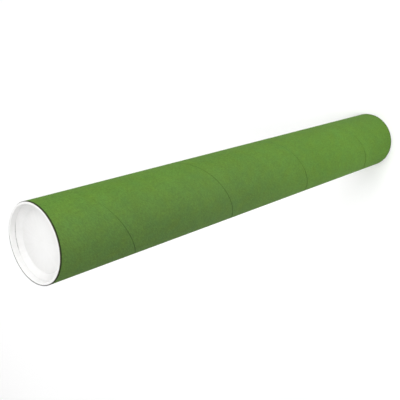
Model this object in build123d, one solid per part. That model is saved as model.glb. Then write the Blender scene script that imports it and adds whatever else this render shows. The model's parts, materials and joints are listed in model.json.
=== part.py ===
from build123d import *
import os

# Spiral-wound paperboard mailing tube with a plastic plug pushed into each end.
# Millimetres, +Z along the tube. The tube stands on end: the origin is the centre of
# the lower plug's outer face, in the plane that meets the ground.
# Three separate pieces: the wound tube and two identical moulded plugs.

# ---- tube ----------------------------------------------------------------
BORE_D = 76.2        # inside diameter, the nominal 3 in
WALL = 2.0           # wound wall, all plies glued into one
TUBE_LEN = 609.6     # cut length, the nominal 24 in
EDGE_BREAK = 0.25    # the saw-cut ends are slightly broken, inside and out

# ---- plug ----------------------------------------------------------------
FLANGE_R = 39.6      # rim that stops on the cut end, just inside the tube's outside
FLANGE_T = 0.7       # thickness of that rim
FLANGE_ROUND = 0.4   # rounding of the rim's outer face edge
FLANGE_UNDER = 0.2   # rounding of the rim's underside edge
PLUG_WALL = 1.3      # moulded wall, the same all round the section
LIP_R = 37.1         # inner edge of the rim, where the cup begins
LIP_ROUND = 0.7      # rounding of that edge
CUP_R = 36.45        # foot of the cup's near-straight wall
CUP_WALL_D = 5.4     # depth of that foot below the rim's face
FLOOR_R = 30.3       # edge of the flat floor
FLOOR_D = 9.2        # depth of the floor below the rim's face
SHOULDER_ROUND = 1.2  # where the wall turns into the cone
FLOOR_ROUND = 3.0    # where the cone turns into the floor
RING_CLEAR = 0.05    # gap between the grip rings and the bore
RING_W = 1.0         # width of a grip ring at its root
RING_STEPS = (2.6, 4.9)  # depths of the two grip rings' centres
GATE_R = 1.1         # moulding gate at the floor's centre, a shallow dimple
GATE_D = 0.25

HEIGHT = TUBE_LEN + 2 * FLANGE_T
BORE_R = BORE_D / 2
TUBE_R = BORE_R + WALL


def tube():
    """The wound tube, from the lower rim's seat to the upper rim's seat."""
    z0, z1, e = FLANGE_T, FLANGE_T + TUBE_LEN, EDGE_BREAK
    section = Polyline(
        (BORE_R + e, z0), (TUBE_R - e, z0), (TUBE_R, z0 + e), (TUBE_R, z1 - e),
        (TUBE_R - e, z1), (BORE_R + e, z1), (BORE_R, z1 - e), (BORE_R, z0 + e),
        close=True,
    )
    return revolve(Plane.XZ * make_face(section), axis=Axis.Z)


def plug():
    """One plug, rim face at z = 0 and the body below it."""
    t = PLUG_WALL
    # the outside: a near-straight skirt, a cone and a flat end, under the rim
    skirt_r = CUP_R + t
    outer = FilletPolyline(
        (skirt_r, -FLANGE_T), (skirt_r - 0.1, -CUP_WALL_D - 0.62),
        (FLOOR_R - 0.45, -FLOOR_D - t), (0, -FLOOR_D - t),
        radius=(SHOULDER_ROUND + t, FLOOR_ROUND + t),
    )
    body = make_face([outer, Line((0, -FLOOR_D - t), (0, -FLANGE_T)),
                      Line((0, -FLANGE_T), (skirt_r, -FLANGE_T))])
    rim_line = FilletPolyline(
        (0, 0), (FLANGE_R, 0), (FLANGE_R, -FLANGE_T), (0, -FLANGE_T),
        radius=(FLANGE_ROUND, FLANGE_UNDER),
    )
    rim = make_face([rim_line, Line((0, -FLANGE_T), (0, 0))])
    solid = revolve(Plane.XZ * body, axis=Axis.Z) + revolve(Plane.XZ * rim, axis=Axis.Z)
    # the recess, with a rounded lip
    inner = FilletPolyline(
        (LIP_R + 4, 0), (LIP_R, 0), (CUP_R, -CUP_WALL_D), (FLOOR_R, -FLOOR_D), (0, -FLOOR_D),
        radius=(LIP_ROUND, SHOULDER_ROUND, FLOOR_ROUND),
    )
    recess = make_face([inner, Line((0, -FLOOR_D), (0, 1)), Line((0, 1), (LIP_R + 4, 1)),
                        Line((LIP_R + 4, 1), (LIP_R + 4, 0))])
    solid -= revolve(Plane.XZ * recess, axis=Axis.Z)
    # two shallow grip rings round the skirt
    ring_r = BORE_R - RING_CLEAR
    for d in RING_STEPS:
        ring = make_face(Polyline(
            (skirt_r - 0.6, -d + RING_W / 2), (skirt_r - 0.05, -d + RING_W / 2),
            (ring_r, -d + RING_W / 5), (ring_r, -d - RING_W / 5),
            (skirt_r - 0.12, -d - RING_W / 2), (skirt_r - 0.6, -d - RING_W / 2), close=True,
        ))
        solid += revolve(Plane.XZ * ring, axis=Axis.Z)
    # the gate's dimple in the floor
    dimple = make_face(Polyline(
        (0, -FLOOR_D + 0.5), (GATE_R, -FLOOR_D + 0.5), (GATE_R, -FLOOR_D),
        (GATE_R * 0.6, -FLOOR_D - GATE_D), (0, -FLOOR_D - GATE_D), close=True,
    ))
    solid -= revolve(Plane.XZ * dimple, axis=Axis.Z)
    return solid


top = Pos(0, 0, HEIGHT) * plug()
bottom = Rot(180, 0, 0) * plug()

os.makedirs("parts", exist_ok=True)
export_step(tube(), "parts/tube.step")
export_step(top, "parts/top_end_cap.step")
export_step(bottom, "parts/bottom_end_cap.step")
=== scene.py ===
import json
import math

import bpy
import numpy as np
from mathutils import Matrix, Vector

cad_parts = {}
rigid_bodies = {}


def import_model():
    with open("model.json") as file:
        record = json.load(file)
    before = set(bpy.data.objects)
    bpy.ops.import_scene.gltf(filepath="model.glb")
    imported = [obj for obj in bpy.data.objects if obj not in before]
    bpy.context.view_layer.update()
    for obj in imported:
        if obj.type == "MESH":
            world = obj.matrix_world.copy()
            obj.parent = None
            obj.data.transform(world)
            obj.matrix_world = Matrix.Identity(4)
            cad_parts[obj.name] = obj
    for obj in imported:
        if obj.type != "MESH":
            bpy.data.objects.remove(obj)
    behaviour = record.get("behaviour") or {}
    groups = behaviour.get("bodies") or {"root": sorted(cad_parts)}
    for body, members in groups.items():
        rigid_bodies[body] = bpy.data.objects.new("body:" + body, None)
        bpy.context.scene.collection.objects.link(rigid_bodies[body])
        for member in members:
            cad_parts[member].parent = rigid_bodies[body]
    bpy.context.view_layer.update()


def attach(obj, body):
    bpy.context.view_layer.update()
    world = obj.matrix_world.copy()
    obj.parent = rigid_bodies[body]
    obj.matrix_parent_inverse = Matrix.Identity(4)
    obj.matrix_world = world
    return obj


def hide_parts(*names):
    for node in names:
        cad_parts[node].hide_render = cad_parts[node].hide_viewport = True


# Looks of a spiral-wound mailing tube that stands on end, with a moulded plug in each end.
# Metres, +Z along the tube, the lower plug's rim face at z = 0.

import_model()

MM = 0.001
HEIGHT = 611.0 * MM          # rim face to rim face
RIM_T = 0.7 * MM             # rim of a plug
R_OUT = 40.035 * MM          # tube's outside, at its highest
R_PAPER = 39.985 * MM        # the outer paper's even surface
R_BORE = 38.1 * MM
EDGE = 0.25 * MM             # broken edge of the cut ends
EDGE_OUT = 0.4 * MM          # the outer paper stops this far short of the cut
Z_LOW, Z_HIGH = RIM_T, HEIGHT - RIM_T

PITCH = 150.52 * MM          # rise of the wound paper in one turn
SEAM_TOP = 69.49 * MM        # upper rim face to the seam, on the -Y side
TILT_COS = 2 * math.pi * R_OUT / math.hypot(2 * math.pi * R_OUT, PITCH)
COLUMNS = 320
rng = np.random.default_rng(20)


# ---------------------------------------------------------------- mesh tools
def new_object(name, verts, faces, materials, face_material=None, sharp=35.0):
    mesh = bpy.data.meshes.new(name)
    mesh.from_pydata([tuple(v) for v in verts], [], faces)
    for m in materials:
        mesh.materials.append(m)
    if face_material is not None:
        mesh.polygons.foreach_set("material_index", np.array(face_material, np.int32))
    mesh.validate()
    mesh.update()
    mesh.shade_smooth()
    mesh.set_sharp_from_angle(angle=math.radians(sharp))
    obj = bpy.data.objects.new(name, mesh)
    bpy.context.scene.collection.objects.link(obj)
    return obj


def at(turn, r, z):
    """A point at an angle measured from -Y towards -X."""
    return (-r * math.sin(turn), -r * math.cos(turn), z)


def wave(turn, z, seed, count, low, high):
    """Smooth low relief that closes round the tube, between -1 and 1 or so."""
    g = np.random.default_rng(seed)
    total = 0.0
    for _ in range(count):
        n = int(g.integers(1, 6))
        total = total + math.sin(n * turn + g.uniform(low, high) * z + g.uniform(0, 6.28))
    return total / count


def seam_width(turn, z):
    """How open the outer seam is on its way round: nearly shut at one side, widest on the other."""
    t = math.degrees(turn)
    t = (t + 180) % 360 - 180
    # it closes most in the upper end's turn and least in the one below
    tight = np.interp(z, (0.28, 0.36, 0.43, 0.50), (0.42, 0.12, 0.12, 0.55))
    return 0.80 + 0.38 * math.cos(math.radians(t - 65)) - tight * math.exp(-((t + 25) / 40) ** 2)


class Skin:
    """A wound ply's face: a helical grid whose rows follow the seam, cut flat at both ends."""

    def __init__(self, mesh, rows, pitch, seam_z, z0, z1, radius, half=0.0, width=None):
        # rows: (offset along z from the seam, height off the face, slot, side) in one pitch, rising
        self.mesh, self.rows, self.pitch, self.seam_z = mesh, rows, pitch, seam_z
        self.half, self.width = half, width or (lambda turn, z: 1.0)
        self.z0, self.z1, self.radius = z0, z1, radius
        self.low, self.high, self.ids = [], [], {}
        for i in range(COLUMNS):
            turn = 2 * math.pi * i / COLUMNS
            self.low.append(mesh.add(at(turn, radius(turn, z0, 0.0), z0)))
            self.high.append(mesh.add(at(turn, radius(turn, z1, 0.0), z1)))

    def vertex(self, i, g):
        if i == COLUMNS:
            i, g = 0, g - len(self.rows)
        turn = 2 * math.pi * i / COLUMNS
        lap, j = divmod(g, len(self.rows))
        offset, lift, _, side = self.rows[j]
        z = self.seam_z - self.pitch * turn / (2 * math.pi) + lap * self.pitch + offset
        open_by = self.width(turn, z)
        z, lift = z + side * self.half * (open_by - 1), lift * open_by
        if z < self.z0 + 0.04 * MM:
            return self.low[i]
        if z > self.z1 - 0.04 * MM:
            return self.high[i]
        if (i, g) not in self.ids:
            self.ids[i, g] = self.mesh.add(at(turn, self.radius(turn, z, lift), z))
        return self.ids[i, g]

    def build(self, outward):
        n = len(self.rows)
        laps = int((self.z1 - self.z0) / self.pitch) + 4
        first = int(math.floor((self.z0 - self.seam_z) / self.pitch)) - 1
        for g in range(first * n, (first + laps) * n):
            slot = self.rows[g % n][2]
            for i in range(COLUMNS):
                quad = [self.vertex(i, g), self.vertex(i + 1, g),
                        self.vertex(i + 1, g + 1), self.vertex(i, g + 1)]
                self.mesh.face(quad[::-1] if outward else quad, slot)


class Builder:
    def __init__(self):
        self.verts, self.faces, self.slots = [], [], []

    def add(self, p):
        self.verts.append(p)
        return len(self.verts) - 1

    def face(self, ids, slot):
        clean = [v for k, v in enumerate(ids) if v != ids[k - 1]]
        if len(set(clean)) == len(clean) >= 3:
            self.faces.append(clean)
            self.slots.append(slot)

    def ring_strip(self, a, b, slot, flip=False):
        for i in range(len(a)):
            j = (i + 1) % len(a)
            quad = [a[i], a[j], b[j], b[i]]
            self.face(quad[::-1] if flip else quad, slot)


# ---------------------------------------------------------------- materials
class Nodes:
    """Small helper round a material's node tree."""

    def __init__(self, name):
        self.material = bpy.data.materials.new(name)
        self.material.use_nodes = True
        self.tree = self.material.node_tree
        self.tree.nodes.clear()
        self.out = self.tree.nodes.new("ShaderNodeOutputMaterial")
        self.shader = self.tree.nodes.new("ShaderNodeBsdfPrincipled")
        self.tree.links.new(self.shader.outputs["BSDF"], self.out.inputs["Surface"])

    def node(self, kind, **settings):
        n = self.tree.nodes.new(kind)
        for key, value in settings.items():
            setattr(n, key, value)
        return n

    def link(self, a, b):
        self.tree.links.new(a, b)

    def math(self, operation, a, b=None, c=None, clamp=False):
        n = self.node("ShaderNodeMath", operation=operation, use_clamp=clamp)
        for k, v in enumerate((a, b, c)):
            if v is None:
                continue
            if isinstance(v, (int, float)):
                n.inputs[k].default_value = v
            else:
                self.link(v, n.inputs[k])
        return n.outputs[0]

    def noise(self, vector, scale, detail=3.0, rough=0.5, distortion=0.0):
        n = self.node("ShaderNodeTexNoise")
        n.inputs["Scale"].default_value = scale
        n.inputs["Detail"].default_value = detail
        n.inputs["Roughness"].default_value = rough
        n.inputs["Distortion"].default_value = distortion
        self.link(vector, n.inputs["Vector"])
        return n.outputs["Fac"]

    def ramp(self, value, stops, interpolation="LINEAR"):
        n = self.node("ShaderNodeValToRGB")
        n.color_ramp.interpolation = interpolation
        while len(n.color_ramp.elements) > 1:
            n.color_ramp.elements.remove(n.color_ramp.elements[-1])
        n.color_ramp.elements[0].position = stops[0][0]
        n.color_ramp.elements[0].color = (*stops[0][1], 1)
        for position, colour in stops[1:]:
            n.color_ramp.elements.new(position).color = (*colour, 1)
        self.link(value, n.inputs["Fac"])
        return n.outputs["Color"]

    def mix(self, factor, a, b, blend="MIX"):
        n = self.node("ShaderNodeMix", data_type="RGBA", blend_type=blend)
        for value, socket in ((factor, n.inputs["Factor"]), (a, n.inputs[6]), (b, n.inputs[7])):
            if isinstance(value, (int, float)):
                socket.default_value = value
            elif isinstance(value, tuple):
                socket.default_value = (*value, 1)
            else:
                self.link(value, socket)
        return n.outputs[2]

    def bump(self, height, strength, distance, normal=None):
        n = self.node("ShaderNodeBump")
        n.inputs["Strength"].default_value = strength
        n.inputs["Distance"].default_value = distance
        self.link(height, n.inputs["Height"])
        if normal is not None:
            self.link(normal, n.inputs["Normal"])
        return n.outputs["Normal"]

    def position(self):
        return self.node("ShaderNodeTexCoord").outputs["Object"]

    def parts(self, vector):
        n = self.node("ShaderNodeSeparateXYZ")
        self.link(vector, n.inputs[0])
        return n.outputs

    def vector(self, x, y, z):
        n = self.node("ShaderNodeCombineXYZ")
        for k, v in enumerate((x, y, z)):
            if isinstance(v, (int, float)):
                n.inputs[k].default_value = v
            else:
                self.link(v, n.inputs[k])
        return n.outputs[0]

    def scaled(self, vector, scale, rotation=(0, 0, 0)):
        n = self.node("ShaderNodeMapping")
        n.inputs["Scale"].default_value = scale
        n.inputs["Rotation"].default_value = rotation
        self.link(vector, n.inputs["Vector"])
        return n.outputs[0]


def helix_share(m, xyz, offset=0.0):
    """0 to 1 across the wound ply, from one seam to the next, with no jump elsewhere."""
    turn = m.math("ARCTAN2", m.math("MULTIPLY", xyz[0], -1.0), m.math("MULTIPLY", xyz[1], -1.0))
    lap = m.math("MULTIPLY", turn, 1 / (2 * math.pi))
    rise = m.math("MULTIPLY_ADD", xyz[2], 1 / PITCH, -(HEIGHT - SEAM_TOP) / PITCH + offset + 40.0)
    return m.math("FRACT", m.math("ADD", lap, rise))


def green_paper():
    m = Nodes("green_paper")
    p = m.position()
    xyz = m.parts(p)
    share = helix_share(m, xyz)
    # the sheet's own grain runs along the winding: (across, along, along)
    ply = m.vector(m.math("MULTIPLY", share, PITCH * TILT_COS), m.math("MULTIPLY", xyz[0], 0.62),
                   m.math("MULTIPLY_ADD", xyz[1], 0.62, m.math("MULTIPLY", xyz[2], 0.30)))
    # cloudy formation of the sheet, fine fibres and specks
    cloud = m.noise(p, 26.0, 4.0, 0.55)
    fibre = m.noise(ply, 2600.0, 3.0, 0.62, 0.8)
    grain = m.noise(p, 3200.0, 2.0, 0.6)
    broad = m.noise(m.vector(m.math("MULTIPLY", share, 9.0), 0.0, m.math("MULTIPLY", xyz[2], 1.4)), 1.0, 2.0, 0.5)
    mottle = m.noise(ply, 780.0, 4.0, 0.66, 0.5)
    tone = m.math("MULTIPLY_ADD", cloud, 0.26, -1.58)
    for part, weight in ((mottle, 1.95), (fibre, 1.15), (grain, 0.55), (broad, 0.25)):
        tone = m.math("MULTIPLY_ADD", part, weight, tone)
    colour = m.ramp(tone, [
        (0.20, (0.0564, 0.1162, 0.0159)),
        (0.50, (0.0683, 0.1461, 0.0195)),
        (0.80, (0.0816, 0.1775, 0.0232)),
    ])
    # painted shade: one side of the upper half is greyed a little, as its shaded side looks
    turn = m.math("ARCTAN2", m.math("MULTIPLY", xyz[0], -1.0), m.math("MULTIPLY", xyz[1], -1.0))
    side_shade_grey = m.math("COSINE", m.math("SUBTRACT", turn, math.radians(42)))
    side_shade_grey = m.math("MULTIPLY", m.math("MAXIMUM", side_shade_grey, 0.0),
                     m.math("DIVIDE", m.math("SUBTRACT", xyz[2], HEIGHT - 0.42), 0.2, clamp=True))
    colour = m.mix(m.math("MULTIPLY", side_shade_grey, 0.10), colour, (0.170, 0.190, 0.150))
    # the dye drifts a little between yellower and bluer
    drift = m.noise(p, 75.0, 2.0, 0.5)
    drift = m.math("MULTIPLY_ADD", drift, 2.2, -0.6, clamp=True)
    colour = m.mix(1.0, colour, m.ramp(drift, [(0.0, (0.955, 1.0, 1.10)), (1.0, (1.045, 1.0, 0.90))]), "MULTIPLY")
    # painted shadow: a dark band on the paper along each cut end, where the plug's rim shades it
    from_end = m.math("MINIMUM", m.math("SUBTRACT", xyz[2], Z_LOW), m.math("SUBTRACT", Z_HIGH, xyz[2]))
    from_end = m.math("MULTIPLY_ADD", m.noise(p, 420.0, 3.0, 0.6), 0.0004, from_end)
    rim_shadow_band = m.math("DIVIDE", m.math("SUBTRACT", 0.00160, from_end), 0.0003, clamp=True)
    colour = m.mix(m.math("MULTIPLY", rim_shadow_band, 0.94), colour, (0.012, 0.018, 0.006))
    m.link(colour, m.shader.inputs["Base Color"])
    m.link(m.math("MULTIPLY_ADD", fibre, 0.16, 0.80), m.shader.inputs["Roughness"])
    m.shader.inputs["Specular IOR Level"].default_value = 0.12
    height = m.math("ADD", m.math("MULTIPLY", fibre, 0.7), m.math("MULTIPLY", grain, 0.3))
    n = m.bump(height, 0.35, 0.00006)
    m.link(m.bump(cloud, 0.25, 0.0004, n), m.shader.inputs["Normal"])
    return m.material


def seam_gap_shade():
    """The cut edges of the green sheet and the glued ply in the gap, coloured dark as painted shade inside the gap."""
    m = Nodes("seam_gap_shade")
    p = m.position()
    fibre = m.noise(p, 1800.0, 3.0, 0.6)
    # painted shade: far darker than the paper, standing for the shade down in the seam's gap
    m.link(m.ramp(fibre, [(0.3, (0.020, 0.034, 0.012)), (0.7, (0.048, 0.074, 0.024))]),
           m.shader.inputs["Base Color"])
    m.shader.inputs["Roughness"].default_value = 0.9
    m.shader.inputs["Specular IOR Level"].default_value = 0.1
    m.link(m.bump(fibre, 0.4, 0.00004), m.shader.inputs["Normal"])
    return m.material


def cut_board():
    """Sawn end: grey-brown plies seen edge on, with fuzz."""
    m = Nodes("cut_board")
    p = m.position()
    xyz = m.parts(p)
    r = m.math("SQRT", m.math("ADD", m.math("POWER", xyz[0], 2.0), m.math("POWER", xyz[1], 2.0)))
    ply = m.math("FRACT", m.math("DIVIDE", m.math("SUBTRACT", r, R_BORE), 0.0004))
    glue = m.math("GREATER_THAN", ply, 0.86)
    fibre = m.noise(m.scaled(p, (1, 1, 0.5)), 1400.0, 4.0, 0.65)
    colour = m.ramp(fibre, [(0.28, (0.120, 0.082, 0.050)), (0.52, (0.220, 0.160, 0.104)),
                            (0.75, (0.340, 0.265, 0.185))])
    colour = m.mix(m.math("MULTIPLY", glue, 0.55), colour, (0.10, 0.065, 0.038))
    # the green sheet's own edge, painted near black as the shade in the gap under the plug's rim
    rim_gap_shade = m.math("DIVIDE", m.math("SUBTRACT", r, 39.35 * MM), 0.2 * MM, clamp=True)
    colour = m.mix(rim_gap_shade, colour, (0.026, 0.034, 0.014))
    m.link(colour, m.shader.inputs["Base Color"])
    m.shader.inputs["Roughness"].default_value = 0.92
    m.shader.inputs["Specular IOR Level"].default_value = 0.15
    m.link(m.bump(fibre, 0.6, 0.0001), m.shader.inputs["Normal"])
    return m.material


def kraft_liner():
    """The bore's brown paper."""
    m = Nodes("kraft_liner")
    p = m.position()
    xyz = m.parts(p)
    share = helix_share(m, xyz, 0.5)
    cloud = m.noise(p, 30.0, 4.0, 0.55)
    fibre = m.noise(m.scaled(p, (1.0, 1.0, 0.35), (0.5, 0, 0)), 1100.0, 4.0, 0.66, 0.8)
    streak = m.noise(m.vector(m.math("MULTIPLY", share, 60.0), 0.0, 0.0), 1.0, 2.0, 0.5)
    tone = m.math("ADD", m.math("MULTIPLY", cloud, 0.35), m.math("MULTIPLY", fibre, 0.4))
    tone = m.math("ADD", tone, m.math("MULTIPLY", streak, 0.25))
    m.link(m.ramp(tone, [(0.30, (0.190, 0.118, 0.062)), (0.50, (0.290, 0.190, 0.108)),
                         (0.70, (0.385, 0.268, 0.162))]), m.shader.inputs["Base Color"])
    m.link(m.math("MULTIPLY_ADD", fibre, 0.2, 0.6), m.shader.inputs["Roughness"])
    m.shader.inputs["Specular IOR Level"].default_value = 0.3
    m.link(m.bump(fibre, 0.4, 0.00008), m.shader.inputs["Normal"])
    return m.material


def white_plastic():
    """Satin moulded polyethylene, a little cloudy, with faint flow marks from the gate."""
    m = Nodes("white_plastic")
    p = m.position()
    xyz = m.parts(p)
    r = m.math("SQRT", m.math("ADD", m.math("POWER", xyz[0], 2.0), m.math("POWER", xyz[1], 2.0)))
    cloud = m.noise(p, 60.0, 3.0, 0.5)
    fine = m.noise(p, 2600.0, 2.0, 0.5)
    turn = m.math("ARCTAN2", xyz[0], xyz[1])
    flow = m.noise(m.vector(m.math("MULTIPLY", m.math("SINE", turn), 5.0),
                            m.math("MULTIPLY", m.math("COSINE", turn), 5.0),
                            m.math("MULTIPLY", r, 30.0)), 1.6, 2.0, 0.5, 0.4)
    tone = m.math("ADD", m.math("MULTIPLY", cloud, 0.6), m.math("MULTIPLY", flow, 0.4))
    colour = m.ramp(tone, [(0.3, (0.743, 0.741, 0.732)), (0.5, (0.772, 0.770, 0.762)),
                           (0.7, (0.796, 0.795, 0.788))])
    # painted shade on the rim's thin edge, wider on the side away from the light, and in the cup's creases
    patchy = m.noise(p, 300.0, 3.0, 0.6)
    side = m.math("MULTIPLY_ADD", xyz[0], -0.5 / R_OUT, m.math("MULTIPLY", xyz[1], 0.87 / R_OUT))
    side = m.math("MULTIPLY_ADD", side, 1.6, -0.3, clamp=True)
    start = m.math("MULTIPLY_ADD", side, -1.35 * MM, 39.42 * MM)
    rim_and_crease_shade = m.math("DIVIDE", m.math("SUBTRACT", r, start), 0.12 * MM, clamp=True)
    rim_and_crease_shade = m.math("MULTIPLY", rim_and_crease_shade, m.math("MULTIPLY_ADD", patchy, 0.5, 0.65), clamp=True)
    deep = m.math("MINIMUM", m.math("SUBTRACT", HEIGHT, xyz[2]), xyz[2])
    # the creases get painted shade, mostly on one side each
    for place, reach, depth, amount, to in ((36.45, 0.50, 5.5, 0.80, (0.29, 0.957)),
                                            (30.35, 0.50, 9.0, 0.26, (-0.99, -0.10))):
        crease_shade = m.math("ABSOLUTE", m.math("SUBTRACT", r, place * MM))
        crease_shade = m.math("SUBTRACT", 1.0, m.math("DIVIDE", crease_shade, reach * MM), clamp=True)
        off = m.math("ABSOLUTE", m.math("SUBTRACT", deep, depth * MM))
        crease_shade = m.math("MULTIPLY", crease_shade, m.math("LESS_THAN", off, 0.5 * MM))
        facing = m.math("MULTIPLY_ADD", xyz[0], to[0] / (place * MM), m.math("MULTIPLY", xyz[1], to[1] / (place * MM)))
        facing = m.math("MAXIMUM", m.math("MULTIPLY_ADD", facing, 8.5, -7.5), 0.04)
        crease_shade = m.math("MULTIPLY", m.math("MULTIPLY", crease_shade, facing),
                        m.math("MULTIPLY_ADD", patchy, 2.2, -0.3, clamp=True))
        rim_and_crease_shade = m.math("MAXIMUM", rim_and_crease_shade, m.math("MULTIPLY", crease_shade, amount))
    # board dust rubbed onto the skirt where it sits in the bore
    dust = m.math("DIVIDE", m.math("SUBTRACT", r, 37.45 * MM), 0.15 * MM, clamp=True)
    dust = m.math("MULTIPLY", dust, m.math("DIVIDE", m.math("SUBTRACT", deep, 1.3 * MM), 0.5 * MM, clamp=True))
    streaks = m.noise(m.vector(m.math("MULTIPLY", m.math("SINE", turn), 22.0),
                               m.math("MULTIPLY", m.math("COSINE", turn), 22.0),
                               m.math("MULTIPLY", xyz[2], 120.0)), 1.0, 3.0, 0.6)
    dust = m.math("MULTIPLY", dust, m.math("MULTIPLY_ADD", streaks, 1.5, -0.35, clamp=True))
    colour = m.mix(m.math("MULTIPLY", dust, 0.75), colour, (0.400, 0.315, 0.215))
    # the painted shade darkens the plastic towards grey
    m.link(m.mix(rim_and_crease_shade, colour, (0.085, 0.083, 0.076)), m.shader.inputs["Base Color"])
    m.link(m.math("MULTIPLY_ADD", flow, 0.12, 0.36), m.shader.inputs["Roughness"])
    m.shader.inputs["IOR"].default_value = 1.51
    m.shader.inputs["Specular IOR Level"].default_value = 0.45
    m.shader.inputs["Subsurface Weight"].default_value = 0.10
    m.shader.inputs["Subsurface Radius"].default_value = (1.0, 0.95, 0.9)
    m.shader.inputs["Subsurface Scale"].default_value = 0.0006
    n = m.bump(fine, 0.12, 0.00003)
    m.link(m.bump(flow, 0.10, 0.0004, n), m.shader.inputs["Normal"])
    return m.material


# ---------------------------------------------------------------- tube
def seam_rows(step, gap, depth, lip):
    """Rows of one pitch: the even face in steps, closing in on the gap between the ply's two edges."""
    half = gap / 2
    near = [0.09, 0.22, 0.5, 1.0, 2.2]
    right = [(half - 0.012, -depth, 1, 1), (half, lip * 0.35, 0, 1)]
    right += [(half + d, lip * 0.35 * math.exp(-d * 1.6), 0, 1) for d in near]
    left = [(-half - d, lip * math.exp(-d * 1.6), 0, -1) for d in reversed(near)]
    left += [(-half, lip, 1, -1), (-half + 0.012, -depth, 1, -1)]
    right, left = ([(q / TILT_COS * MM, h * MM, s, side) for q, h, s, side in rows] for rows in (right, left))
    start, end = right[-1][0], PITCH + left[0][0]
    count = int((end - start) / (step * MM))
    bulk = [(start + (end - start) * k / count, 0.0, 0, 0) for k in range(1, count)]
    return right + bulk + [(PITCH + q, h, s, side) for q, h, s, side in left]


def wound_tube():
    b = Builder()
    seam_z = HEIGHT - SEAM_TOP

    def outside(turn, z, lift):
        return min(R_OUT, R_PAPER + lift + 0.012 * MM * wave(turn, z, 5, 6, 6, 45))

    def inside(turn, z, lift):
        return max(R_BORE, R_BORE + 0.03 * MM - lift + 0.02 * MM * wave(turn, z, 9, 5, 6, 40))

    outer = Skin(b, seam_rows(5.2, 0.42, 0.27, 0.045), PITCH, seam_z, Z_LOW + EDGE_OUT, Z_HIGH - EDGE_OUT,
                 outside, 0.21 * MM / TILT_COS, seam_width)
    outer.build(outward=True)
    inner = Skin(b, [(q, h, 2 if s == 0 else 3, side) for q, h, s, side in seam_rows(16.0, 0.5, 0.25, 0.03)],
                 PITCH, seam_z + 0.5 * PITCH, Z_LOW + EDGE, Z_HIGH - EDGE, inside)
    inner.build(outward=False)
    # the sawn ends, ply by ply
    plies = 5
    wall = (R_OUT - EDGE) - (R_BORE + EDGE)
    for z, edge_out, edge_in, up in ((Z_HIGH, outer.high, inner.high, 1), (Z_LOW, outer.low, inner.low, -1)):
        last = edge_out
        for k in range(plies):
            top = R_OUT - EDGE - wall * k / plies
            for share, sink in ((0.0, 0.02), (0.12, 0.0), (0.5, 0.0), (0.88, 0.0), (1.0, 0.05)):
                if share == 0.0 and k:
                    continue
                ring = []
                for i in range(COLUMNS):
                    turn = 2 * math.pi * i / COLUMNS
                    fuzz = abs(rng.normal(0, 0.012))
                    ring.append(b.add(at(turn, top - wall / plies * share, z - up * (sink + fuzz) * MM)))
                b.ring_strip(last, ring, 3, flip=up < 0)
                last = ring
        b.ring_strip(last, edge_in, 3, flip=up < 0)
    return b


tube_builder = wound_tube()
tube = new_object("wound_tube", tube_builder.verts, tube_builder.faces,
                  [green_paper(), seam_gap_shade(), kraft_liner(), cut_board()], tube_builder.slots)
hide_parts("tube")
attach(tube, "tube")


# ---------------------------------------------------------------- plugs
def rounded(points):
    """A polyline of (r, z, radius) with its corners rounded, in mm."""
    out = []
    for k, (r, z, radius) in enumerate(points):
        if not radius:
            out.append((r, z))
            continue
        p = Vector((r, z))
        a = (Vector(points[k - 1][:2]) - p).normalized()
        c = (Vector(points[k + 1][:2]) - p).normalized()
        half = a.angle(c) / 2
        run = radius / math.tan(half)
        centre = p + (a + c).normalized() * radius / math.sin(half)
        start, stop = p + a * run - centre, p + c * run - centre
        turn = math.atan2(start.x * stop.y - start.y * stop.x, start.dot(stop))
        steps = max(3, int(abs(turn) / math.radians(9)) + 1)
        for s in range(steps + 1):
            v = start.copy()
            v.rotate(Matrix.Rotation(turn * s / steps, 2))
            out.append(tuple(centre + v))
    return out


def between(points, step):
    """The same line with no run longer than step."""
    out = [points[0]]
    for a, c in zip(points, points[1:]):
        n = max(1, int(math.ceil(math.dist(a, c) / step)))
        out += [(a[0] + (c[0] - a[0]) * k / n, a[1] + (c[1] - a[1]) * k / n) for k in range(1, n + 1)]
    return out


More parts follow.
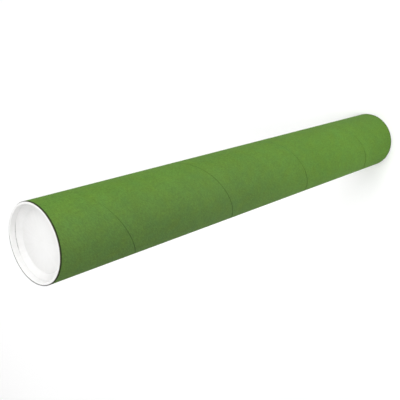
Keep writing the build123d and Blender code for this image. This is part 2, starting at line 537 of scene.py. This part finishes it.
def plug(name, body, node, upper, seed):
    t = 1.3
    # the rim's face rolls over to a thin edge that stands just off the cut board
    cup = rounded([(0, -9.2 - 0.25, 0), (0.66, -9.2 - 0.25, 0), (1.1, -9.2, 0.2), (30.3, -9.2, 1.5),
                   (36.08, -5.65, 0.2), (36.54, -5.54, 0.06), (36.54, -5.40, 0.06), (36.49, -5.2, 0.1),
                   (37.1, 0, 0.7), (38.85, 0, 1.2), (39.32, -0.06, 0.5),
                   (39.57, -0.28, 0.06), (38.7, -0.62, 0), (37.75, -0.7, 0)])
    skirt = [(37.74, -2.1), (38.05, -2.4), (38.05, -2.8), (37.73, -3.1), (37.71, -4.4),
             (38.05, -4.7), (38.05, -5.1), (37.68, -5.4)]
    under = rounded([(37.67, -5.5, 0), (37.65, -6.02, 2.5), (29.85, -10.5, 4.3), (0, -10.5, 0)])
    line = between(cup, 1.6) + skirt + between(under, 2.2)[1:]
    g = np.random.default_rng(seed)
    waves = [(int(g.integers(1, 5)), g.uniform(0.02, 0.16), g.uniform(0, 6.28)) for _ in range(5)]
    b, rings, n = Builder(), [], 256
    sign, base = (1, HEIGHT) if upper else (-1, 0.0)
    for r, z in line:
        if r < 1e-6:
            rings.append([b.add((0, 0, base + sign * z * MM))] * n)
            continue
        ring = []
        for i in range(n):
            turn = 2 * math.pi * i / n
            # the thin floor isn't quite flat
            warp = sum(math.sin(k * turn + f * r + c) for k, f, c in waves) / 5
            dz = 0.07 * warp * min(1.0, max(0.0, (32.0 - r) / 8)) * min(1.0, r / 6) if z < -8 else 0.0
            x, y, _ = at(turn, r * MM, 0)
            ring.append(b.add((x, y, base + sign * (z + dz) * MM)))
        rings.append(ring)
    for a, c in zip(rings, rings[1:]):
        b.ring_strip(a, c, 0, flip=upper)
    obj = new_object(name, b.verts, b.faces, [PLASTIC], b.slots, sharp=40.0)
    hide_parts(node)
    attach(obj, body)
    return obj


PLASTIC = white_plastic()
top_plug = plug("top_plug", "top_end_cap", "top_end_cap", True, 3)
bottom_plug = plug("bottom_plug", "bottom_end_cap", "bottom_end_cap", False, 4)


# ---------------------------------------------------------------- floor, light, camera
def floor():
    s = 9.0
    m = Nodes("floor_white")
    m.shader.inputs["Base Color"].default_value = (0.955, 0.955, 0.955, 1)
    m.shader.inputs["Roughness"].default_value = 0.95
    m.shader.inputs["Specular IOR Level"].default_value = 0.1
    n = 24
    verts = [(-s + 2 * s * i / n, -s + 2 * s * j / n, -0.00004) for j in range(n + 1) for i in range(n + 1)]
    faces = [(j * (n + 1) + i, j * (n + 1) + i + 1, (j + 1) * (n + 1) + i + 1, (j + 1) * (n + 1) + i)
             for j in range(n) for i in range(n)]
    obj = new_object("studio_floor", verts, faces, [m.material])
    return obj


floor()


def softbox(name, place, aim, size, power, colour=(1, 1, 1)):
    data = bpy.data.lights.new(name, "AREA")
    data.shape, data.size, data.size_y = "RECTANGLE", size[0], size[1]
    data.energy, data.color = power, colour
    obj = bpy.data.objects.new(name, data)
    bpy.context.scene.collection.objects.link(obj)
    obj.location = place
    obj.rotation_mode = "QUATERNION"
    obj.rotation_quaternion = (Vector(aim) - Vector(place)).to_track_quat("-Z", "Y")
    obj.visible_camera = False
    return obj


softbox("overhead", (0, 0, 3.5), (0, 0, 0), (5.0, 5.0), 17.4)
softbox("side_high", (2.2, 0, 2.6), (0, 0, 0.3), (2.4, 2.4), 28.1)
softbox("side_key", (1.9, 0, 0.9), (0, 0, 0.35), (0.9, 0.9), 2.1)
softbox("side_low", (1.905, -1.1, 0.45), (0, 0, 0.3), (0.9, 0.6), 24.4)
softbox("near_right", (0.48, -0.62, 1.05), (0, 0, 0.6), (0.4, 0.4), 2.6)
softbox("near_left", (-0.274, -0.752, 1.05), (0, 0, 0.6), (0.4, 0.4), 3.5)
softbox("back", (0.2, 1.7, 1.2), (0, 0, 0.4), (1.2, 1.2), 7.5)
softbox("floor_left", (-1.1, 1.0, 1.3), (-0.6, 0.7, 0), (1.0, 1.0), 4.9)
softbox("foot_front", (-0.104, -0.386, 0.1), (0, 0, 0.05), (0.2, 0.14), 0.70)
softbox("foot_side", (-0.394, -0.069, 0.1), (0, 0, 0.05), (0.2, 0.14), 0.36)
softbox("foot_back", (-0.45, 0.779, 0.25), (0, 0, 0), (0.5, 0.3), 0.2)


def studio():
    """Plain pale surroundings."""
    world = bpy.data.worlds.new("studio")
    bpy.context.scene.world = world
    world.use_nodes = True
    tree = world.node_tree
    back = tree.nodes["Background"]
    back.inputs["Color"].default_value = (1.0, 1.0, 1.0, 1)
    back.inputs["Strength"].default_value = 0.388
    return world


studio()

cam_data = bpy.data.cameras.new("camera")
cam_data.sensor_width, cam_data.lens = 36.0, 60.96
cam_data.clip_start, cam_data.clip_end = 0.02, 60.0
camera = bpy.data.objects.new("camera", cam_data)
bpy.context.scene.collection.objects.link(camera)
camera.matrix_world = Matrix((
    (-0.29818475, 0.95444209, 0.01123216, 0.0),
    (-0.67846565, -0.20365827, -0.70583828, -0.544233),
    (-0.67139423, -0.21809084, 0.70828396, HEIGHT + 0.324638),
    (0, 0, 0, 1),
))
bpy.context.scene.camera = camera
bpy.context.scene.view_settings.view_transform = "Standard"
bpy.context.scene.view_settings.look = "None"
